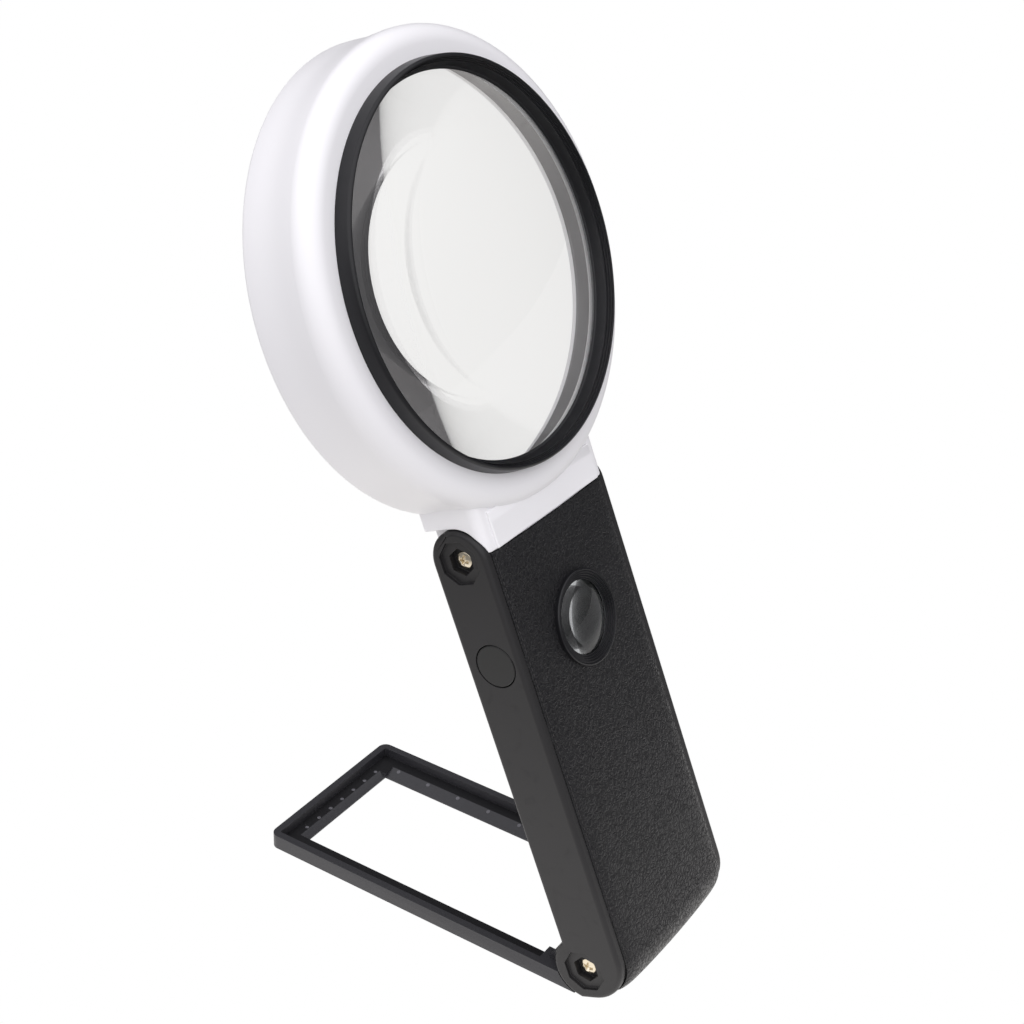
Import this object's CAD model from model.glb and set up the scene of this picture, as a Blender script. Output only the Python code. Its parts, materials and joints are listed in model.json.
import json
from math import cos, pi, radians, sin

import bmesh
import bpy
import numpy as np
from mathutils import Matrix, Vector


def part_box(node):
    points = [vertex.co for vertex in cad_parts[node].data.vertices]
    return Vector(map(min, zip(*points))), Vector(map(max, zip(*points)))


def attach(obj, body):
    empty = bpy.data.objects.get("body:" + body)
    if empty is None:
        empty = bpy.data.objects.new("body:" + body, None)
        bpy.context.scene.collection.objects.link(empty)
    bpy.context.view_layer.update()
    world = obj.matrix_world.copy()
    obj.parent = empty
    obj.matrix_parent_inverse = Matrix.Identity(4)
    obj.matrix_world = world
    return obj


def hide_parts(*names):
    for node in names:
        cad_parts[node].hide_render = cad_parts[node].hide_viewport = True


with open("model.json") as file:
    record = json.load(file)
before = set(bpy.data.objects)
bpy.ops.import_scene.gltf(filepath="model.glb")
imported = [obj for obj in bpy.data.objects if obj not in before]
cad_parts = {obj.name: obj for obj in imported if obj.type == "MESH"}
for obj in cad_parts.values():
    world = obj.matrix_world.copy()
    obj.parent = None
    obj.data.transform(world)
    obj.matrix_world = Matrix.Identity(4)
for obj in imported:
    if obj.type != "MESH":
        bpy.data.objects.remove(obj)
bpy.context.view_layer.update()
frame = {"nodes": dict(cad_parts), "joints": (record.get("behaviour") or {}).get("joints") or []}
scene = bpy.context.scene

# the frame's own places: both pivots and the lean of the handle at rest
jointOf = {j["name"]: j for j in frame["joints"]}
standPivot = np.array(jointOf["stand_fold"]["pos_m"])
tiltPivot = np.array(jointOf["head_tilt"]["pos_m"])
lean = radians(-jointOf["stand_fold"]["range_deg"][0])
acrossAxis = np.array([1.0, 0.0, 0.0])
rearAxis = np.array([0.0, cos(lean), -sin(lean)])
alongAxis = np.array([0.0, sin(lean), cos(lean)])


def onHandle(x, v, w):
    # millimetres from the stand pivot to metres in the frame:
    # point = pivot + x * across + v * towards the rear + w * up the handle
    x, v, w = np.broadcast_arrays(x, v, w)
    offset = x[..., None] * acrossAxis + v[..., None] * rearAxis + w[..., None] * alongAxis
    return standPivot + 0.001 * offset


def onHead(x, a, b):
    # the same, measured from the tilt pivot
    return onHandle(x, a, b) + tiltPivot - standPivot


def roundedPath(corners, closed=True, steps=6, reach=0.12):
    # each corner (x, y, radius) becomes an arc tangent to both its sides, with a
    # support point a little before and after the arc so that flat sides shade flat
    corners = np.array(corners, float)
    point, radius = corners[:, :2], np.maximum(corners[:, 2], 1e-3)
    before, after = np.roll(point, 1, 0) - point, np.roll(point, -1, 0) - point
    lengthBefore = np.linalg.norm(before, axis=1)
    lengthAfter = np.linalg.norm(after, axis=1)
    before, after = before / lengthBefore[:, None], after / lengthAfter[:, None]
    half = np.arccos(np.clip((before * after).sum(1), -1, 1)) / 2
    tangent = radius / np.tan(np.maximum(half, 1e-4))
    middle = before + after
    middle = middle / np.maximum(np.linalg.norm(middle, axis=1), 1e-9)[:, None]
    centre = point + middle * (radius / np.sin(half))[:, None]
    first = (point + before * tangent[:, None] - centre) / radius[:, None]
    last = (point + after * tangent[:, None] - centre) / radius[:, None]
    sweep = pi - 2 * half
    t = np.linspace(0, 1, steps + 1)[None, :, None]
    w = sweep[:, None, None]
    arc = centre[:, None] + radius[:, None, None] * (
        first[:, None] * np.sin((1 - t) * w) + last[:, None] * np.sin(t * w)) / np.sin(w)
    lead = arc[:, :1] + before[:, None] * np.minimum(reach, lengthBefore / 4)[:, None, None]
    tail = arc[:, -1:] + after[:, None] * np.minimum(reach, lengthAfter / 4)[:, None, None]
    path = np.concatenate([lead, arc, tail], axis=1)
    if not closed:
        path[0, :] = point[0]
        path[-1, :] = point[-1]
        flat = path.reshape(-1, 2)
        return flat[steps + 2:-(steps + 2)]
    return path.reshape(-1, 2)


def filled(path, gap, closed=True):
    # adds points along the long sides so that no step is longer than gap
    nextPoint = np.roll(path, -1, 0) if closed else path[1:]
    start = path if closed else path[:-1]
    count = np.maximum(np.ceil(np.linalg.norm(nextPoint - start, axis=1) / gap).astype(int), 1)
    side = np.repeat(np.arange(len(start)), count)
    part = (np.arange(count.sum()) - np.repeat(np.cumsum(count) - count, count)) / np.repeat(count, count)
    points = start[side] + (nextPoint[side] - start[side]) * part[:, None]
    return points if closed else np.vstack([points, path[-1:]])


def turned(path, centre, place, segments=256):
    # a path of (radius, depth) turned round the front-to-rear axis through (0, centre):
    # point = place(radius * cos(angle), depth, centre + radius * sin(angle))
    angle = np.linspace(0, 2 * pi, segments, endpoint=False)[:, None]
    radius, depth = path[None, :, 0], path[None, :, 1]
    return place(radius * np.cos(angle), depth + 0 * angle, centre + radius * np.sin(angle))


def gridFaces(rows, columns, wrapRows, wrapColumns, start=0):
    i = np.arange(rows if wrapRows else rows - 1)
    j = np.arange(columns if wrapColumns else columns - 1)
    i, j = np.meshgrid(i, j, indexing="ij")
    i2, j2 = (i + 1) % rows, (j + 1) % columns
    quads = np.stack([i * columns + j, i2 * columns + j, i2 * columns + j2, i * columns + j2], axis=-1)
    return quads.reshape(-1, 4) + start


def pieceFromGrids(name, grids, material, body, replaced=(), sharp=35, merge=2e-7):
    # grids is a list of (points[rows, columns, 3], wrapRows, wrapColumns)
    allPoints, allFaces, start = [], [], 0
    for points, wrapRows, wrapColumns in grids:
        rows, columns = points.shape[:2]
        allPoints.append(points.reshape(-1, 3))
        allFaces.append(gridFaces(rows, columns, wrapRows, wrapColumns, start))
        start += rows * columns
    mesh = bpy.data.meshes.new(name)
    mesh.from_pydata(np.vstack(allPoints).tolist(), [], np.vstack(allFaces).tolist())
    tidyMesh(mesh, merge)
    return addPiece(name, mesh, material, body, replaced, sharp)


def tidyMesh(mesh, merge):
    # joins doubles and turns the faces outwards
    work = bmesh.new()
    work.from_mesh(mesh)
    bmesh.ops.remove_doubles(work, verts=work.verts, dist=merge)
    bmesh.ops.dissolve_degenerate(work, edges=work.edges, dist=merge)
    bmesh.ops.recalc_face_normals(work, faces=work.faces)
    work.to_mesh(mesh)
    work.free()


def addPiece(name, mesh, material, body, replaced=(), sharp=35):
    mesh.name = name
    mesh.polygons.foreach_set("use_smooth", np.ones(len(mesh.polygons), bool))
    mesh.set_sharp_from_angle(angle=radians(sharp))
    mesh.materials.clear()
    mesh.materials.append(material)
    piece = bpy.data.objects.new(name, mesh)
    scene.collection.objects.link(piece)
    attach(piece, body)
    if replaced:
        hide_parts(*replaced)
    return piece


def secondFinish(piece, material, test):
    # gives the faces picked by test(centres, normals) a second material
    piece.data.materials.append(material)
    count = len(piece.data.polygons)
    centres, normals = np.empty(count * 3), np.empty(count * 3)
    piece.data.polygons.foreach_get("center", centres)
    piece.data.polygons.foreach_get("normal", normals)
    picked = test(centres.reshape(-1, 3), normals.reshape(-1, 3))
    piece.data.polygons.foreach_set("material_index", picked.astype(np.int32))


def softenedCopy(node, body, material, edgeWeight, width, segments=3, sharp=30):
    # a merged copy of a node whose hard edges are rounded by a Bevel modifier;
    # edgeWeight gives each hard edge's share of the width from its middle and direction
    mesh = frame["nodes"][node].data.copy()
    work = bmesh.new()
    work.from_mesh(mesh)
    bmesh.ops.remove_doubles(work, verts=work.verts, dist=2e-6)
    bmesh.ops.dissolve_limit(work, angle_limit=radians(0.4), verts=work.verts, edges=work.edges)
    bmesh.ops.recalc_face_normals(work, faces=work.faces)
    weightLayer = work.edges.layers.float.new("bevel_weight_edge")
    for edge in work.edges:
        if len(edge.link_faces) == 2 and edge.calc_face_angle(0) > radians(24):
            middle = np.array((edge.verts[0].co + edge.verts[1].co) / 2)
            along = np.array((edge.verts[0].co - edge.verts[1].co).normalized())
            edge[weightLayer] = edgeWeight(middle, along)
    work.to_mesh(mesh)
    work.free()
    piece = addPiece(node + "Finish", mesh, material, body, (node,), sharp)
    bevel = piece.modifiers.new("softEdges", "BEVEL")
    bevel.limit_method = "WEIGHT"
    bevel.width = width
    bevel.segments = segments
    bevel.use_clamp_overlap = False
    bevel.harden_normals = True
    return piece


def newGroup(name, inputs, outputs):
    # a node group with named numbers in and out
    group = bpy.data.node_groups.new(name, "ShaderNodeTree")
    for label, value in inputs.items():
        socket = group.interface.new_socket(label, in_out="INPUT", socket_type="NodeSocketFloat")
        socket.default_value = value
    for label in outputs:
        group.interface.new_socket(label, in_out="OUTPUT", socket_type="NodeSocketFloat")
    return group


def link(tree, output, target):
    tree.links.new(output, target)


def node(tree, kind, **values):
    made = tree.nodes.new(kind)
    for key, value in values.items():
        setattr(made, key, value)
    return made


def mathNode(tree, operation, first, second=None, clamp=False):
    made = node(tree, "ShaderNodeMath", operation=operation, use_clamp=clamp)
    for index, value in enumerate((first, second)):
        if value is None:
            continue
        if isinstance(value, (int, float)):
            made.inputs[index].default_value = value
        else:
            link(tree, value, made.inputs[index])
    return made.outputs[0]


def ramp(tree, value, low, high, toLow=0.0, toHigh=1.0, smooth=True):
    made = node(tree, "ShaderNodeMapRange", interpolation_type="SMOOTHSTEP" if smooth else "LINEAR")
    link(tree, value, made.inputs["Value"])
    for label, number in (("From Min", low), ("From Max", high), ("To Min", toLow), ("To Max", toHigh)):
        made.inputs[label].default_value = number
    return made.outputs[0]


def makeMouldedGroup():
    # moulded plastic: a fine spark-eroded texture, slow drifts of tone and faint handling marks
    group = newGroup("mouldedSurface", {"Grain": 9000.0, "Drift": 35.0}, ("Height", "Tone", "Marks"))
    start, end = group.nodes.new("NodeGroupInput"), group.nodes.new("NodeGroupOutput")
    place = group.nodes.new("ShaderNodeTexCoord")
    fine = node(group, "ShaderNodeTexNoise")
    fine.inputs["Detail"].default_value = 3
    fine.inputs["Roughness"].default_value = 0.6
    slow = node(group, "ShaderNodeTexNoise")
    slow.inputs["Detail"].default_value = 4
    marks = node(group, "ShaderNodeTexNoise")
    marks.inputs["Scale"].default_value = 160
    marks.inputs["Detail"].default_value = 6
    marks.inputs["Distortion"].default_value = 1.4
    for texture in (fine, slow, marks):
        link(group, place.outputs["Object"], texture.inputs["Vector"])
    link(group, start.outputs["Grain"], fine.inputs["Scale"])
    link(group, start.outputs["Drift"], slow.inputs["Scale"])
    link(group, fine.outputs["Fac"], end.inputs["Height"])
    link(group, slow.outputs["Fac"], end.inputs["Tone"])
    link(group, ramp(group, marks.outputs["Fac"], 0.56, 0.72), end.inputs["Marks"])
    return group


def makeLeatherGroup():
    # leather grain: warped cells whose edges are creases, a second coarser set of
    # creases that runs down the handle, and fine pores on the pebbles
    group = newGroup("leatherGrain", {"Cells": 850.0, "Folds": 300.0}, ("Height", "Crease", "Tone"))
    start, end = group.nodes.new("NodeGroupInput"), group.nodes.new("NodeGroupOutput")
    place = group.nodes.new("ShaderNodeTexCoord")
    warp = node(group, "ShaderNodeTexNoise")
    warp.inputs["Scale"].default_value = 520
    warp.inputs["Detail"].default_value = 3
    link(group, place.outputs["Object"], warp.inputs["Vector"])
    centred = node(group, "ShaderNodeVectorMath", operation="SUBTRACT")
    link(group, warp.outputs["Color"], centred.inputs[0])
    centred.inputs[1].default_value = (0.5, 0.5, 0.5)
    scaled = node(group, "ShaderNodeVectorMath", operation="SCALE")
    link(group, centred.outputs[0], scaled.inputs[0])
    scaled.inputs["Scale"].default_value = 0.0022
    moved = node(group, "ShaderNodeVectorMath", operation="ADD")
    link(group, place.outputs["Object"], moved.inputs[0])
    link(group, scaled.outputs[0], moved.inputs[1])
    cells = node(group, "ShaderNodeTexVoronoi", feature="DISTANCE_TO_EDGE")
    folds = node(group, "ShaderNodeTexVoronoi", feature="DISTANCE_TO_EDGE")
    stretch = node(group, "ShaderNodeMapping")
    stretch.inputs["Rotation"].default_value = (0, 0, 0.5)
    stretch.inputs["Scale"].default_value = (1.25, 1.0, 0.6)
    link(group, moved.outputs[0], cells.inputs["Vector"])
    link(group, moved.outputs[0], stretch.inputs["Vector"])
    link(group, stretch.outputs[0], folds.inputs["Vector"])
    link(group, start.outputs["Cells"], cells.inputs["Scale"])
    link(group, start.outputs["Folds"], folds.inputs["Scale"])
    pores = node(group, "ShaderNodeTexNoise")
    pores.inputs["Scale"].default_value = 5200
    pores.inputs["Detail"].default_value = 2
    link(group, place.outputs["Object"], pores.inputs["Vector"])
    drift = node(group, "ShaderNodeTexNoise")
    drift.inputs["Scale"].default_value = 60
    drift.inputs["Detail"].default_value = 4
    link(group, place.outputs["Object"], drift.inputs["Vector"])
    pebble = ramp(group, cells.outputs["Distance"], 0.0, 0.22)
    fold = ramp(group, folds.outputs["Distance"], 0.0, 0.1)
    pebbleShare = mathNode(group, "MULTIPLY", pebble, 0.62)
    creases = mathNode(group, "ADD", pebbleShare, mathNode(group, "MULTIPLY", fold, 0.38))
    height = mathNode(group, "ADD", creases, mathNode(group, "MULTIPLY", pores.outputs["Fac"], 0.12))
    link(group, height, end.inputs["Height"])
    link(group, creases, end.inputs["Crease"])
    link(group, drift.outputs["Fac"], end.inputs["Tone"])
    return group


mouldedGroup = makeMouldedGroup()
leatherGroup = makeLeatherGroup()


def newMaterial(name):
    material = bpy.data.materials.new(name)
    material.use_nodes = True
    tree = material.node_tree
    shader = tree.nodes["Principled BSDF"]
    return material, tree, shader


def mixColour(tree, mask, first, second):
    # a mix node's colour sockets come after the ones for numbers and vectors
    made = node(tree, "ShaderNodeMix", data_type="RGBA")
    link(tree, mask, made.inputs[0])
    made.inputs[6].default_value = (*first, 1)
    made.inputs[7].default_value = (*second, 1)
    return made.outputs[2]


def bumpNode(tree, height, strength, distance):
    made = node(tree, "ShaderNodeBump")
    made.inputs["Strength"].default_value = strength
    made.inputs["Distance"].default_value = distance
    link(tree, height, made.inputs["Height"])
    return made.outputs["Normal"]


def mouldedPlastic(name, colour, tint, roughness, spread=0.06, grain=9000, bump=0.12, distance=2e-5,
                   specular=0.5, coat=0.0):
    # colour drifts towards tint, roughness rises where it has been handled
    material, tree, shader = newMaterial(name)
    surface = node(tree, "ShaderNodeGroup", node_tree=mouldedGroup)
    surface.inputs["Grain"].default_value = grain
    link(tree, mixColour(tree, surface.outputs["Tone"], colour, tint), shader.inputs["Base Color"])
    rough = mathNode(tree, "MULTIPLY", surface.outputs["Marks"], spread)
    rough = mathNode(tree, "ADD", rough, roughness)
    rough = mathNode(tree, "ADD", rough, mathNode(tree, "MULTIPLY", surface.outputs["Tone"], spread))
    link(tree, rough, shader.inputs["Roughness"])
    link(tree, bumpNode(tree, surface.outputs["Height"], bump, distance), shader.inputs["Normal"])
    shader.inputs["Specular IOR Level"].default_value = specular
    shader.inputs["Coat Weight"].default_value = coat
    return material


def metal(name, colour, tint, roughness, grain=4000):
    material = mouldedPlastic(name, colour, tint, roughness, 0.12, grain, 0.2, 1.5e-5)
    material.node_tree.nodes["Principled BSDF"].inputs["Metallic"].default_value = 1
    return material


def leatherMaterial(name, colour, tint):
    material, tree, shader = newMaterial(name)
    grain = node(tree, "ShaderNodeGroup", node_tree=leatherGroup)
    # creases stay duller and darker than the worn tops of the pebbles
    tone = mathNode(tree, "MULTIPLY", grain.outputs["Crease"], grain.outputs["Tone"])
    link(tree, mixColour(tree, tone, colour, tint), shader.inputs["Base Color"])
    link(tree, ramp(tree, grain.outputs["Crease"], 0.2, 1.0, 0.6, 0.34), shader.inputs["Roughness"])
    link(tree, bumpNode(tree, grain.outputs["Height"], 1.0, 1.5e-4), shader.inputs["Normal"])
    shader.inputs["Specular IOR Level"].default_value = 0.38
    return material


def glassMaterial(name, colour, ior):
    # clear glass that lets the light through to what is behind it
    material, tree, shader = newMaterial(name)
    shader.inputs["Base Color"].default_value = (*colour, 1)
    shader.inputs["Roughness"].default_value = 0
    shader.inputs["IOR"].default_value = ior
    shader.inputs["Transmission Weight"].default_value = 1
    clear = node(tree, "ShaderNodeBsdfTransparent")
    clear.inputs["Color"].default_value = (0.96, 0.97, 0.97, 1)
    path = node(tree, "ShaderNodeLightPath")
    mix = node(tree, "ShaderNodeMixShader")
    link(tree, path.outputs["Is Shadow Ray"], mix.inputs["Fac"])
    link(tree, shader.outputs[0], mix.inputs[1])
    link(tree, clear.outputs[0], mix.inputs[2])
    link(tree, mix.outputs[0], tree.nodes["Material Output"].inputs["Surface"])
    return material


whiteShell = mouldedPlastic("whiteShell", (0.84, 0.83, 0.85), (0.87, 0.86, 0.87), 0.34,
                            spread=0.05, grain=6000, bump=0.05, distance=1e-5, specular=0.45)
plateBlack = mouldedPlastic("plateBlack", (0.011, 0.0105, 0.011), (0.016, 0.015, 0.016), 0.46,
                            spread=0.08, grain=7000, bump=0.35, distance=3e-5, specular=0.42)
coverBlack = mouldedPlastic("coverBlack", (0.013, 0.013, 0.014), (0.019, 0.019, 0.02), 0.52,
                            spread=0.08, grain=6000, bump=0.4, distance=3e-5, specular=0.45)
bezelBlack = mouldedPlastic("bezelBlack", (0.0055, 0.0055, 0.0065), (0.009, 0.009, 0.011), 0.33,
                            spread=0.06, grain=8000, bump=0.1, distance=1.5e-5, specular=0.36)
buttonBlack = mouldedPlastic("buttonBlack", (0.009, 0.009, 0.009), (0.014, 0.014, 0.0138), 0.44,
                             spread=0.06, grain=7000, bump=0.2, distance=2e-5, specular=0.4)
frameBlack = mouldedPlastic("frameBlack", (0.019, 0.0188, 0.022), (0.027, 0.0265, 0.031), 0.4,
                            spread=0.08, grain=7000, bump=0.3, distance=2.5e-5, specular=0.5)
wellBlack = mouldedPlastic("wellBlack", (0.006, 0.006, 0.007), (0.01, 0.0098, 0.0115), 0.5,
                           spread=0.08, grain=7000, bump=0.3, distance=2.5e-5, specular=0.25)
leatherBlack = leatherMaterial("leatherBlack", (0.0022, 0.0021, 0.0028), (0.009, 0.0087, 0.0108))
threadGrey = mouldedPlastic("threadGrey", (0.02, 0.019, 0.02), (0.05, 0.047, 0.047), 0.6,
                            spread=0.1, grain=12000, bump=0.5, distance=4e-5, specular=0.4)
dotPaint = mouldedPlastic("dotPaint", (0.09, 0.088, 0.1), (0.15, 0.145, 0.16), 0.55,
                          spread=0.05, grain=9000, bump=0.1, distance=1e-5, specular=0.4)
screwNickel = metal("screwNickel", (0.62, 0.54, 0.40), (0.82, 0.75, 0.62), 0.12)
contactSteel = metal("contactSteel", (0.7, 0.7, 0.7), (0.82, 0.82, 0.82), 0.25)
cellCan = metal("cellCan", (0.5, 0.3, 0.06), (0.62, 0.4, 0.1), 0.3)
boardGreen = mouldedPlastic("boardGreen", (0.015, 0.1, 0.035), (0.03, 0.14, 0.05), 0.4,
                            spread=0.08, grain=3000, bump=0.2, distance=2e-5)
leadRed = mouldedPlastic("leadRed", (0.35, 0.02, 0.015), (0.45, 0.03, 0.02), 0.45)
lampClear = mouldedPlastic("lampClear", (0.85, 0.86, 0.72), (0.92, 0.92, 0.8), 0.15,
                           spread=0.03, grain=9000, bump=0.02, coat=0.6)
groundGlass = mouldedPlastic("groundGlass", (0.16, 0.16, 0.17), (0.26, 0.26, 0.27), 0.55,
                             spread=0.1, grain=2500, bump=0.5, distance=3e-5)
boreGrey = mouldedPlastic("boreGrey", (0.12, 0.118, 0.12), (0.3, 0.29, 0.295), 0.35,
                          spread=0.1, grain=900, bump=0.3, distance=3e-5)
lensGlass = glassMaterial("lensGlass", (1.0, 0.995, 0.985), 1.49)
loupeGlass = glassMaterial("loupeGlass", (0.5, 0.51, 0.52), 1.49)
print("finishes made")

head = {
    "centre": 59.7,       # lens centre above the tilt pivot
    "radius": 53.5,
    "face": -11.2,        # white front face
    "rear": 7.6,
    "wall": 2.0,
    "frontRound": 4.6,
    "waist": 0.3,         # hollow of the side wall
    "boreRadius": 45.45,
    "seatRadius": 43.4,
    "ledge": -4.3,
}


def makeDrum(h):
    # the shell's section as one closed path, then the side wall drawn in by
    # waist * (1 - cos(2 pi t)) / 2 between its two edges, t from front to rear
    coverSeat = h["rear"] - 2.0
    inner, tube = h["radius"] - h["wall"], h["boreRadius"] + 1.5
    path = roundedPath([
        (h["radius"], h["rear"], 0.7), (inner, h["rear"], 0.2), (inner, h["face"] + h["wall"], 1.2),
        (tube, h["face"] + h["wall"], 0.5), (tube, coverSeat, 0.1), (h["seatRadius"], coverSeat, 0.2),
        (h["seatRadius"], h["ledge"], 0.2), (h["boreRadius"], h["ledge"], 0.1),
        (h["boreRadius"], h["face"], 0.25), (h["radius"], h["face"], h["frontRound"]),
    ], steps=9, reach=0.25)
    path = filled(path, 1.2)
    low, high = h["face"] + h["frontRound"] - 1, h["rear"] - 0.9
    t = np.clip((path[:, 1] - low) / (high - low), 0, 1)
    outer = path[:, 0] > h["radius"] - 1.0
    path[:, 0] -= np.where(outer, h["waist"] * (1 - np.cos(2 * pi * t)) / 2, 0)
    return turned(path, h["centre"], onHead, 320)


neck = {
    "half": 24.6,         # half width
    "front": -9.0,        # crest of the front
    "crown": 0.8,         # fall of the crest towards the sides
    "crownHalf": 22.6,
    "cornerRound": 2.3,
    "edgeRound": 0.35,    # round of the lower edge
    "rear": 7.6,
    "bottom": 1.2,
    "top": 15.2,          # inside the drum
    "plateHollow": 7.85,  # hollow round the ends of the side plates
}


def makeNeck(n):
    # section outline (x, a) carried up from a lower edge at max(bottom, sqrt(hollow^2 - a^2)) in
    # front of the pivot and at hollow behind it; the underside is closed by drawing x in to 0
    outline = roundedPath([
        (-n["half"], n["rear"], 0.6), (-n["half"], n["front"], n["cornerRound"]),
        (n["half"], n["front"], n["cornerRound"]), (n["half"], n["rear"], 0.6)], steps=8, reach=0.2)
    outline = filled(outline, 0.9)
    x, a = outline[:, 0], outline[:, 1]
    a = a + n["crown"] * (x / n["crownHalf"]) ** 2 * np.clip((-a - 1) / 5, 0, 1)
    hollow = np.sqrt(np.maximum(n["plateHollow"] ** 2 - a ** 2, 0))
    bottom = np.where(a < 0, np.maximum(hollow, n["bottom"]), n["plateHollow"])
    lift = np.array([0.0, 0.03, 0.1, 0.2, 0.35])
    edge = n["edgeRound"] * (1 - np.sqrt(np.clip(1 - (1 - lift / n["edgeRound"]) ** 2, 0, 1)))
    rows = []
    for share in (0.0, 0.3, 0.6, 0.85, 0.96):    # underside
        rows.append(onHead(x * share * (1 - n["edgeRound"] / n["half"]), a, bottom))
    for inset, height in zip(edge, lift):        # rounded lower edge
        rows.append(onHead(x * (1 - inset / n["half"]), a + inset * (a < -5), bottom + height))
    for height in (2.0, 4.0, 6.0, 8.0):
        rows.append(onHead(x, a, np.maximum(bottom + 0.5, n["bottom"] + height)))
    rows.append(onHead(x, a, n["top"]))
    rows.append(onHead(0.0, a, n["top"]))
    return np.stack(rows)


def acrossPiece(path, low, high, place, edge=0.25):
    # a closed (depth, height) path carried from low to high across; at both ends it is drawn
    # in by edge and then shrinks to its middle
    middle = path.mean(0)
    size = np.linalg.norm(path - middle, axis=1)
    lowEnd = [(0.0, low), (0.5, low), (0.9, low), (1.0, low), (1.0, low + edge)]
    highEnd = [(1.0, high - edge), (1.0, high), (0.9, high), (0.5, high), (0.0, high)]
    rows = []
    for share, at in lowEnd + highEnd:
        drawnIn = edge if share > 0 and at in (low, high) else 0
        points = middle + (path - middle) * (np.maximum(size * share - drawnIn, 0) / size)[:, None]
        rows.append(place(at, points[:, 0], points[:, 1]))
    return np.stack(rows)


tongue = {
    "half": 21.1,         # half width, between the side plates
    "rear": 7.5, "front": -8.9, "top": 9.9,
    "shoulder": 1.25,     # underside of the step over the front cover
    "eye": 5.6,           # reach in front of the pivot and below it
}


def makeTongue(t):
    outline = roundedPath([
        (t["rear"], t["top"], 0.3), (t["front"], t["top"], 0.3), (t["front"], t["shoulder"], 0.35),
        (-t["eye"], t["shoulder"], 0.3), (-t["eye"], -t["eye"], 5.2),
        (5.0, -t["eye"], 0.8), (t["rear"], -2.2, 3.0)], steps=8)
    return acrossPiece(filled(outline, 0.8), -t["half"], t["half"], onHead)


headShell = pieceFromGrids("headShell", [
    (makeDrum(head), True, True),
    (makeNeck(neck), False, True),
    (makeTongue(tongue), False, True),
], whiteShell, "head", ("head_shell",), sharp=40)


def inBore(centres, normals):
    # faces of the bore behind the lens, by their distance from the lens's axis
    offset = (centres - onHead(0.0, 0.0, head["centre"])) * 1000
    away = np.hypot(offset @ acrossAxis, offset @ alongAxis)
    return (away < head["seatRadius"] + 0.15) & (np.abs(normals @ rearAxis) < 0.5)


secondFinish(headShell, boreGrey, inBore)
print("head shell made")

bezel = {
    "rim": -14.85, "back": -4.85, "depth": 5.0,      # depth from the rim to the lens
    "foot": 45.9, "outer": 45.35, "inner": 44.6, "skirt": 45.4,
    "steps": 3, "stepRise": 0.62, "stepIn": 0.2,
    "cone": 43.35, "glass": 42.85, "lensSeat": 44.75,
}


def makeBezel(b):
    # outer wall, rounded rim, then a stair of fine steps that turns into a cone down to the glass
    face, lensFront = head["face"], b["rim"] + b["depth"]
    foot = face + 0.02
    corners = [(b["foot"], foot, 0.05), (b["outer"] + 0.1, b["rim"], 0.75), (b["inner"], b["rim"], 0.12)]
    for k in range(b["steps"]):
        radius, depth = b["inner"] - k * b["stepIn"], b["rim"] + (k + 1) * b["stepRise"]
        corners += [(radius, depth, 0.08), (radius - b["stepIn"], depth - 0.12, 0.1)]
    lip = lensFront - 0.6
    corners += [(b["cone"], lip - 0.2, 0.25), (b["glass"], lip, 0.06), (b["glass"], lip + 0.1, 0.02),
                (b["lensSeat"], lensFront, 0.03), (b["lensSeat"], b["back"], 0.03),
                (b["skirt"], b["back"], 0.1), (b["skirt"], foot, 0.05)]
    return turned(roundedPath(corners, steps=5, reach=0.06), head["centre"], onHead, 320)


pieceFromGrids("bezelRing", [(makeBezel(bezel), True, True)], bezelBlack, "head",
               ("bezel_ring",), sharp=50)

mainLens = {"radius": 44.65, "front": -9.85, "edge": 5.0, "frontSag": 5.3, "rearSag": 6.3}
loupe = {"radius": 9.4, "front": -11.7, "edge": 2.3, "frontSag": 1.75, "rearSag": 1.75, "height": 80.0}


def lensPath(g, steps):
    # two arcs of circles, radius (r^2 + sag^2) / (2 sag), joined by the ground edge
    def face(sag, count):
        arcRadius = (g["radius"] ** 2 + sag ** 2) / (2 * sag)
        angle = np.linspace(0, np.arcsin(g["radius"] / arcRadius), count)
        return arcRadius * np.sin(angle), sag - arcRadius * (1 - np.cos(angle))
    frontR, frontUp = face(g["frontSag"], steps)
    rearR, rearUp = face(g["rearSag"], steps)
    rear = g["front"] + g["edge"]
    radii = np.concatenate([frontR, [g["radius"]], rearR[::-1]])
    depths = np.concatenate([g["front"] - frontUp, [(g["front"] + rear) / 2], rear + rearUp[::-1]])
    return np.stack([radii, depths], axis=1)


def makeLens(name, g, centre, place, body, node, glass, segments, steps):
    points = turned(lensPath(g, steps), centre, place, segments)
    lens = pieceFromGrids(name, [(points, True, False)], glass, body, (node,), sharp=25)
    # the ground edge has its own finish
    secondFinish(lens, groundGlass, lambda centres, normals: np.abs(normals @ rearAxis) < 0.3)
    return lens


makeLens("mainLens", mainLens, head["centre"], onHead, "head", "main_lens", lensGlass, 320, 60)
makeLens("loupeLens", loupe, loupe["height"], onHandle, "handle", "loupe_lens", loupeGlass, 128, 24)
print("lenses made")

loupeRim = {
    "rim": -13.45, "seat": -12.05, "foot": -10.95, "back": -9.3,      # depths, from front to rear
    "outer": 11.35, "body": 10.95, "flat": 10.85, "lensSeat": 9.5, "glass": 8.75, "steps": 4,
}


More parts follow.
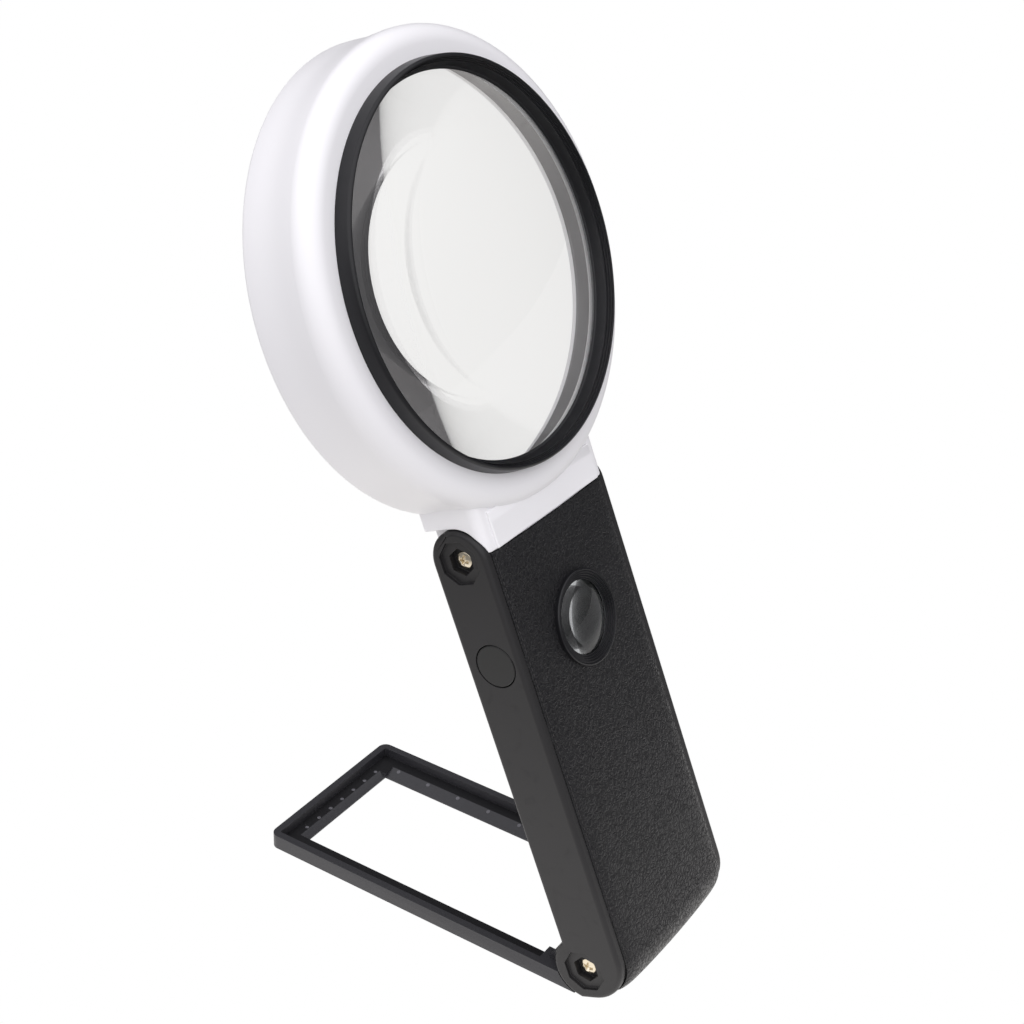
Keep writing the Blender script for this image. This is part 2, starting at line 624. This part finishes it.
def makeLoupeRing(r):
    # a rolled outer rim and a stepped funnel down to the glass
    drop = (r["seat"] - 0.1 - r["rim"]) / r["steps"]
    inset = (r["flat"] - r["glass"]) / r["steps"]
    corners = [(r["outer"], r["foot"], 0.05), (r["outer"], r["rim"], 0.35), (r["flat"], r["rim"], 0.12)]
    for k in range(r["steps"]):
        radius, depth = r["flat"] - k * inset, r["rim"] + (k + 1) * drop
        corners += [(radius - 0.05, depth, 0.07), (radius - inset, depth - 0.1, 0.07)]
    corners += [(r["glass"], r["seat"], 0.05), (r["lensSeat"], r["seat"], 0.03),
                (r["lensSeat"], r["back"], 0.05), (r["body"], r["back"], 0.1), (r["body"], r["foot"], 0.05)]
    return turned(roundedPath(corners, steps=4, reach=0.05), loupe["height"], onHandle, 160)


pieceFromGrids("loupeRing", [(makeLoupeRing(loupeRim), True, True)], bezelBlack, "handle",
               ("loupe_ring",), sharp=50)
print("bezel and loupe rim made")

leather = {
    "half": 23.05, "front": -12.5, "back": -10.92, "crown": 0.7, "roll": 0.72,
    "edgeRound": 0.5, "endRound": 0.6,
    "top": 106.15, "toeCentre": (-2.5, 1.6), "toeRadius": 10.0, "toeSweep": 88.0,
    "stitchAt": 22.3, "groove": 0.12, "grooveWidth": 0.3,
}


def leatherLine(l, spacing=1.5):
    # crest line in (v, w) with its outward normal: straight down the handle, then round the toe
    straight = np.linspace(l["top"], l["toeCentre"][1], int((l["top"] - l["toeCentre"][1]) / spacing))
    turn = np.radians(np.linspace(0, l["toeSweep"], 30))[1:]
    normal = np.concatenate([np.stack([-np.ones_like(straight), 0 * straight], 1),
                             np.stack([-np.cos(turn), -np.sin(turn)], 1)])
    line = np.concatenate([np.stack([0 * straight + l["front"], straight], 1),
                           np.array(l["toeCentre"]) + l["toeRadius"] * normal[len(straight):]])
    return line, normal


def makeLeather(l):
    # cross-section: depth = crown * (x / half)^2 + roll * |x / half|^14 plus a stitched groove
    # groove * exp(-((|x| - stitchAt) / grooveWidth)^2) near each edge, rounded over at the sides
    thick = l["back"] - l["front"]
    half = l["half"]
    front = roundedPath([(-half, thick, 0.0), (-half, 0.0, l["edgeRound"]), (half, 0.0, l["edgeRound"]),
                         (half, thick, 0.0)], closed=False, steps=8, reach=0.1)
    front = filled(front, 0.6, closed=False)
    extra = l["crown"] * (front[:, 0] / half) ** 2 + l["roll"] * np.abs(front[:, 0] / half) ** 14
    extra = extra + l["groove"] * np.exp(-((np.abs(front[:, 0]) - l["stitchAt"]) / l["grooveWidth"]) ** 2)
    depth = np.minimum(front[:, 1] + extra, thick)
    # stations along the line, closer together where the ends at the seam and under the toe round over
    line, normal = leatherLine(l)
    along = np.concatenate([[0], np.cumsum(np.linalg.norm(np.diff(line, axis=0), axis=1))])
    fine = np.array([0.0, 0.08, 0.2, 0.4, 0.7])
    between = along[(along > 0.8) & (along < along[-1] - 0.8)]
    stations = np.unique(np.concatenate([fine, between, along[-1] - fine]))
    line = np.stack([np.interp(stations, along, line[:, k]) for k in (0, 1)], 1)
    normal = np.stack([np.interp(stations, along, normal[:, k]) for k in (0, 1)], 1)
    normal /= np.linalg.norm(normal, axis=1)[:, None]
    fromEnd = np.minimum(stations, stations[-1] - stations)
    roundOver = np.maximum(l["endRound"] ** 2 - np.maximum(l["endRound"] - fromEnd, 0) ** 2, 0)
    over = (l["endRound"] - np.sqrt(roundOver))[:, None]
    # each row is the front from side to side and back along the flat rear; point = line - normal * depth
    loopX = np.concatenate([front[:, 0], front[::-1, 0][1:-1]])
    frontDepth = np.minimum(depth + over * (1 - depth / thick), thick)
    loopDepth = np.concatenate([frontDepth, np.full((len(stations), len(front) - 2), thick)], axis=1)
    closed = np.full((1, len(loopX)), thick)
    loopDepth = np.concatenate([closed, loopDepth, closed])
    order = np.concatenate([[0], np.arange(len(stations)), [len(stations) - 1]])
    line, normal = line[order], normal[order]
    return onHandle(loopX, line[:, :1] - normal[:, :1] * loopDepth, line[:, 1:] - normal[:, 1:] * loopDepth)


leatherCover = pieceFromGrids("leatherCover", [(makeLeather(leather), False, True)], leatherBlack,
                              "handle", ("leather_skin",), sharp=60)


def cutHole(piece, radius, centre, place):
    # a round hole from front to rear, cut once and kept in the mesh
    path = np.array([[0, -20.0], [radius, -20.0], [radius, 5.0], [0, 5.0]])
    points = turned(path, centre, place, 96)
    mesh = bpy.data.meshes.new("cutter")
    mesh.from_pydata(points.reshape(-1, 3).tolist(), [], gridFaces(96, 4, True, False).tolist())
    tidyMesh(mesh, 1e-7)
    cutter = bpy.data.objects.new("cutter", mesh)
    scene.collection.objects.link(cutter)
    cut = piece.modifiers.new("hole", "BOOLEAN")
    cut.operation, cut.solver, cut.object = "DIFFERENCE", "EXACT", cutter
    bpy.context.view_layer.update()
    evaluated = piece.evaluated_get(bpy.context.evaluated_depsgraph_get())
    done = bpy.data.meshes.new_from_object(evaluated)
    piece.modifiers.clear()
    piece.data = done
    bpy.data.objects.remove(cutter)


cutHole(leatherCover, 11.15, loupe["height"], onHandle)


stitch = {"pitch": 1.5, "length": 0.95, "radius": 0.11}


def makeStitches(l, q):
    # small ellipsoids laid end to end in the groove:
    # point = centre + along * length/2 * cos(p) + (normal * cos(t) + across * sin(t)) * radius * sin(p)
    line, normal = leatherLine(l, 0.5)
    run = np.concatenate([[0], np.cumsum(np.linalg.norm(np.diff(line, axis=0), axis=1))])
    at = np.arange(1.6, run[-1] - 1.0, q["pitch"])
    centre = np.stack([np.interp(at, run, line[:, k]) for k in (0, 1)], 1)
    out = np.stack([np.interp(at, run, normal[:, k]) for k in (0, 1)], 1)
    out /= np.linalg.norm(out, axis=1)[:, None]
    share = l["stitchAt"] / l["half"]
    depth = l["crown"] * share ** 2 + l["roll"] * share ** 14 + l["groove"] - 0.02
    centre = centre - out * depth
    t = np.linspace(0, 2 * pi, 8, endpoint=False)[None, :, None]
    p = np.linspace(0, pi, 7)[None, None, :]
    reach = q["length"] / 2 * np.cos(p)
    outward = q["radius"] * np.cos(t) * np.sin(p)
    outV, outW = out[:, 0, None, None], out[:, 1, None, None]
    v = centre[:, 0, None, None] - outW * reach + outV * outward
    w = centre[:, 1, None, None] + outV * reach + outW * outward
    grids = []
    for side in (-1, 1):
        x = side * l["stitchAt"] + q["radius"] * np.sin(t) * np.sin(p)
        points = onHandle(x, v, w)
        grids += [(points[k], True, False) for k in range(len(at))]
    return grids


pieceFromGrids("edgeStitches", makeStitches(leather, stitch), threadGrey, "handle",
               sharp=80, merge=1e-7)
print("leather made")

# side plates, covers, button and stand are softened copies of their nodes
plateEdge = {"outer": 1.15, "small": 0.12, "face": 24.9, "clearOfHoles": 6.0}


def handleCoordinates(point):
    offset = (point - standPivot) * 1000
    return offset @ acrossAxis, offset @ rearAxis, offset @ alongAxis


def plateWeight(point, along):
    # the outline of the outer face is softer than the holes' edges
    x, v, w = handleCoordinates(point)
    tiltV, tiltW = handleCoordinates(tiltPivot)[1:]
    buttonV, buttonW = handleCoordinates(np.array(jointOf["button_press"]["pos_m"]))[1:]
    toHoles = min(np.hypot(v, w), np.hypot(v - tiltV, w - tiltW), np.hypot(v - buttonV, w - buttonW))
    if abs(x) > plateEdge["face"] and toHoles > plateEdge["clearOfHoles"]:
        return 1.0
    return plateEdge["small"] / plateEdge["outer"]


for plateNode in ("side_plate_left", "side_plate_right"):
    softenedCopy(plateNode, "handle", plateBlack, plateWeight, plateEdge["outer"] * 0.001, 4)


def evenWeight(point, along):
    return 1.0


softenedCopy("rear_cover", "handle", coverBlack, evenWeight, 0.0002, 2)
softenedCopy("battery_door", "door", coverBlack, evenWeight, 0.00025, 2)
softenedCopy("button_cap", "button", buttonBlack, evenWeight, 0.0003, 3)


standEdge = {"corner": 2.4, "outer": 0.6, "small": 0.22, "top": 3.6, "start": 12.0}


def standWeight(point, along):
    # top edges on the plan's outer line, a rectangle with rounded far corners, are softer
    x, y, z = abs(point[0]) * 1000, point[1] * 1000, point[2] * 1000
    far = np.array(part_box("stand_frame")[1]) * 1000
    insideX = x - (far[0] - standEdge["corner"])
    insideY = y - (far[1] - standEdge["corner"])
    reach = max(insideX, insideY) if min(insideX, insideY) < 0 else np.hypot(insideX, insideY)
    onTop = abs(along[2]) < 0.1 and z > standEdge["top"] and y > standPivot[1] * 1000 + standEdge["start"]
    if onTop and reach > standEdge["corner"] - 0.12:
        return 1.0
    return standEdge["small"] / standEdge["outer"]


standFrame = softenedCopy("stand_frame", "stand", frameBlack, standWeight,
                          standEdge["outer"] * 0.001, 3)
standFrame.modifiers[0].use_clamp_overlap = True


def inWell(centres, normals):
    # the flat floor inside the raised rim
    return (normals[:, 2] > 0.98) & (centres[:, 2] > 0.001) & (centres[:, 2] < 0.002)


secondFinish(standFrame, wellBlack, inWell)

screw = {
    "face": 23.7, "headRadius": 2.05, "dome": 0.42, "headHeight": 1.0, "rimRound": 0.1,
    "shank": 1.2, "length": 8.9, "turn": 0.5,
    "armWidth": 0.36, "armLength": 1.3, "recess": 0.75,
}


def crossArm(q, across, along):
    # 1 inside one arm of the cross, fading over its sides and its ends
    side = np.clip((q["armWidth"] - np.abs(across)) / 0.16 + 0.5, 0, 1)
    end = np.clip((q["armLength"] - np.abs(along)) / 0.5, 0, 1)
    return side * side * (3 - 2 * side) * end


def makeScrews(q, pivot):
    # domed head, depth = dome * (r / R)^2 + rounded rim + recess * cross(x, y), then the underside
    # and the shank; one screw on each side
    angle = np.linspace(0, 2 * pi, 96, endpoint=False)[None, :]
    flat = q["headRadius"] - q["rimRound"]
    rim = flat + q["rimRound"] * np.sin([0.5, 1.0, 1.57])
    radius = np.concatenate([np.linspace(0, flat, 42), rim])[:, None]
    armX, armY = radius * np.cos(angle), radius * np.sin(angle)
    cross = np.maximum(crossArm(q, armX, armY), crossArm(q, armY, armX))
    edge = np.clip((radius - flat) / q["rimRound"], 0, 1)
    roundOver = q["rimRound"] * (1 - np.sqrt(np.clip(1 - edge ** 2, 0, 1)))
    dome = q["dome"] * (radius / q["headRadius"]) ** 2 + roundOver
    end = q["headHeight"] + q["length"]
    tail = np.array([[q["headRadius"], q["headHeight"]], [q["shank"], q["headHeight"]],
                     [q["shank"], end], [0.0, end]])
    depth = np.vstack([dome + q["recess"] * cross, tail[:, 1:] + 0 * angle])
    radius = np.vstack([radius, tail[:, :1]])
    v, w = radius * np.cos(angle + q["turn"]), radius * np.sin(angle + q["turn"])
    pair = [onHandle(side * (q["face"] - depth), v, w) + pivot - standPivot for side in (-1, 1)]
    return [(points, False, True) for points in pair]


pieceFromGrids("headScrews", makeScrews(screw, tiltPivot), screwNickel, "head",
               ("tilt_screws",), sharp=50, merge=1e-7)
pieceFromGrids("footScrews", makeScrews(screw, standPivot), screwNickel, "stand",
               ("stand_screws",), sharp=50, merge=1e-7)

dots = {
    "radius": 0.5, "height": 0.05, "floor": 1.6,
    "longX": 19.0, "longPlaces": (17.0, 90.0, 10.0),       # on the long ruler's bevel: from, to, step
    "bevelFrom": 16.1, "bevelWidth": 3.6, "bevelEdge": 0.3,
    "shortY": 92.0, "shortPlaces": (-15.0, 15.1, 5.0),     # on the far bar's floor
}


def makeDots(d):
    # flat round marks on the two rulers; each is a low closed disc
    slope = (d["floor"] - d["bevelEdge"]) / d["bevelWidth"]
    longZ = d["bevelEdge"] + (d["longX"] - d["bevelFrom"]) * slope
    spots = [(d["longX"], y, longZ, slope) for y in np.arange(*d["longPlaces"])]
    spots += [(x, d["shortY"], d["floor"], 0.0) for x in np.arange(*d["shortPlaces"])]
    angle = np.linspace(0, 2 * pi, 14, endpoint=False)[:, None]
    share = np.array([0.0, 1.0, 1.0, 0.0])[None, :]
    level = np.array([-0.05, -0.05, 1.0, 1.0])[None, :] * d["height"]
    grids = []
    for x, y, z, rise in spots:
        px = x + d["radius"] * share * np.cos(angle)
        py = y + d["radius"] * share * np.sin(angle) + standPivot[1] * 1000
        pz = z + (px - x) * rise + level
        grids.append((0.001 * np.stack([px, py, pz], axis=-1), True, False))
    return grids


pieceFromGrids("rulerDots", makeDots(dots), dotPaint, "stand", sharp=40, merge=1e-7)

# nodes that stay as they are and only take a finish
carried = {
    "head_rear_cover": whiteShell, "front_cover": coverBlack, "cover_screws": screwNickel,
    "battery_tray": coverBlack, "battery_cells": cellCan, "battery_springs": contactSteel,
    "contact_plates": contactSteel, "switch_board": boardGreen, "tact_switch": buttonBlack,
    "lead_wires": leadRed, "led_board": boardGreen, "leds": lampClear, "tilt_nuts": screwNickel,
    "tilt_washers": contactSteel, "stand_nuts": screwNickel, "stand_washers": contactSteel,
}
for name, material in carried.items():
    for slot in frame["nodes"][name].material_slots:
        slot.material = material
print("plates, covers and stand made")

studio = {
    "bright": (-0.60, -0.35, 0.72),     # where the soft light comes from
    "low": 0.02, "high": 1.66,          # strengths away from it and towards it
    "horizon": (-0.05, 0.55, 0.12),     # from this height to this one it rises from this share
    "tint": (0.975, 0.97, 1.0),
    "backdrop": 1.0,                    # as the camera sees it
    "throughGlass": 0.9,
    "floorNear": 1.2, "floorFar": 0.05, "fallOff": (0.0, 0.38),
    "floorReach": 8.0, "floorDrop": 0.0002,
}


def backdropParts(tree, s):
    # where the plain backdrop shows, directly or through glass, and how bright it is there
    path = node(tree, "ShaderNodeLightPath")
    direct = path.outputs["Is Camera Ray"]
    seen = mathNode(tree, "MAXIMUM", direct, path.outputs["Is Transmission Ray"])
    return seen, ramp(tree, direct, 0, 1, s["throughGlass"], s["backdrop"], smooth=False)


def makeFloorMaterial(s):
    # lit table whose glow falls off with distance, white where the camera looks at it
    material, tree, shader = newMaterial("paleFloor")
    shader.inputs["Base Color"].default_value = (0.2, 0.2, 0.2, 1)
    shader.inputs["Roughness"].default_value = 0.9
    shader.inputs["Specular IOR Level"].default_value = 0.1
    shader.inputs["Emission Color"].default_value = (1, 0.975, 0.95, 1)
    place = node(tree, "ShaderNodeTexCoord")
    reach = node(tree, "ShaderNodeVectorMath", operation="LENGTH")
    link(tree, place.outputs["Object"], reach.inputs[0])
    glow = ramp(tree, reach.outputs["Value"], *s["fallOff"], s["floorNear"], s["floorFar"])
    link(tree, glow, shader.inputs["Emission Strength"])
    seen, brightness = backdropParts(tree, s)
    white = node(tree, "ShaderNodeEmission")
    link(tree, brightness, white.inputs["Strength"])
    mix = node(tree, "ShaderNodeMixShader")
    link(tree, seen, mix.inputs["Fac"])
    link(tree, shader.outputs[0], mix.inputs[1])
    link(tree, white.outputs[0], mix.inputs[2])
    link(tree, mix.outputs[0], tree.nodes["Material Output"].inputs["Surface"])
    return material


reach, drop = studio["floorReach"], studio["floorDrop"]
floorMesh = bpy.data.meshes.new("floor")
floorMesh.from_pydata([(x * reach, y * reach, -drop) for x, y in ((-1, -1), (1, -1), (1, 1), (-1, 1))],
                      [], [(0, 1, 2, 3)])
floorMesh.materials.append(makeFloorMaterial(studio))
floor = bpy.data.objects.new("floor", floorMesh)
scene.collection.objects.link(floor)

world = bpy.data.worlds.new("studio")
scene.world = world
world.use_nodes = True


def makeStudio(s):
    # soft light that grows towards one side and upwards, and a plain white backdrop
    tree = world.node_tree
    place = node(tree, "ShaderNodeTexCoord")
    towards = node(tree, "ShaderNodeVectorMath", operation="DOT_PRODUCT")
    link(tree, place.outputs["Generated"], towards.inputs[0])
    towards.inputs[1].default_value = Vector(s["bright"]).normalized()
    soft = ramp(tree, towards.outputs["Value"], -0.4, 0.85, s["low"], s["high"])
    split = node(tree, "ShaderNodeSeparateXYZ")
    link(tree, place.outputs["Generated"], split.inputs[0])
    lowest, highest, least = s["horizon"]
    soft = mathNode(tree, "MULTIPLY", soft, ramp(tree, split.outputs["Z"], lowest, highest, least, 1.0))
    seen, brightness = backdropParts(tree, s)
    shown = node(tree, "ShaderNodeMix", data_type="FLOAT")
    link(tree, seen, shown.inputs[0])
    link(tree, soft, shown.inputs[2])
    link(tree, brightness, shown.inputs[3])
    background = tree.nodes["Background"]
    link(tree, mixColour(tree, seen, s["tint"], (1, 1, 1)), background.inputs["Color"])
    link(tree, shown.outputs[0], background.inputs["Strength"])


makeStudio(studio)
keyLight = {
    "place": (-1.0, -0.6, 0.9), "target": (0, 0, 0.1),
    "size": 0.8, "power": 2.6, "colour": (0.98, 0.98, 1.0),
}


def addLight(name, q):
    # a square soft box that lights the object and is never seen itself
    light = bpy.data.lights.new(name, "AREA")
    light.shape, light.size, light.energy, light.color = "SQUARE", q["size"], q["power"], q["colour"]
    lamp = bpy.data.objects.new(name, light)
    lamp.location = q["place"]
    lamp.rotation_mode = "QUATERNION"
    lamp.rotation_quaternion = (Vector(q["target"]) - Vector(q["place"])).to_track_quat("-Z", "Y")
    lamp.visible_camera = False
    lamp.visible_glossy = False
    lamp.visible_transmission = False
    scene.collection.objects.link(lamp)


addLight("keyLeft", keyLight)

view = {
    "place": (-0.31587, -0.15741, 0.31224),     # metres from the stand pivot's foot on the table
    "yaw": 57.81, "pitch": -28.76, "roll": 2.41, "focal": 1843.0, "frame": 1024,
}
yaw, pitch, roll = (radians(view[k]) for k in ("yaw", "pitch", "roll"))
ahead = Vector((sin(yaw) * cos(pitch), cos(yaw) * cos(pitch), sin(pitch)))
level = Vector((cos(yaw), -sin(yaw), 0))
above = level.cross(ahead)
sideways = level * cos(roll) + above * sin(roll)
upright = -level * sin(roll) + above * cos(roll)
cameraData = bpy.data.cameras.new("camera")
camera = bpy.data.objects.new("camera", cameraData)
cameraData.sensor_width = 36
cameraData.lens = cameraData.sensor_width * view["focal"] / view["frame"]
cameraData.clip_start, cameraData.clip_end = 0.01, 50
camera.matrix_world = Matrix((
    (sideways[0], upright[0], -ahead[0], view["place"][0]),
    (sideways[1], upright[1], -ahead[1], view["place"][1] + standPivot[1]),
    (sideways[2], upright[2], -ahead[2], view["place"][2]),
    (0, 0, 0, 1)))
scene.collection.objects.link(camera)
scene.camera = camera
scene.view_settings.view_transform = "Standard"

print("scene ready")
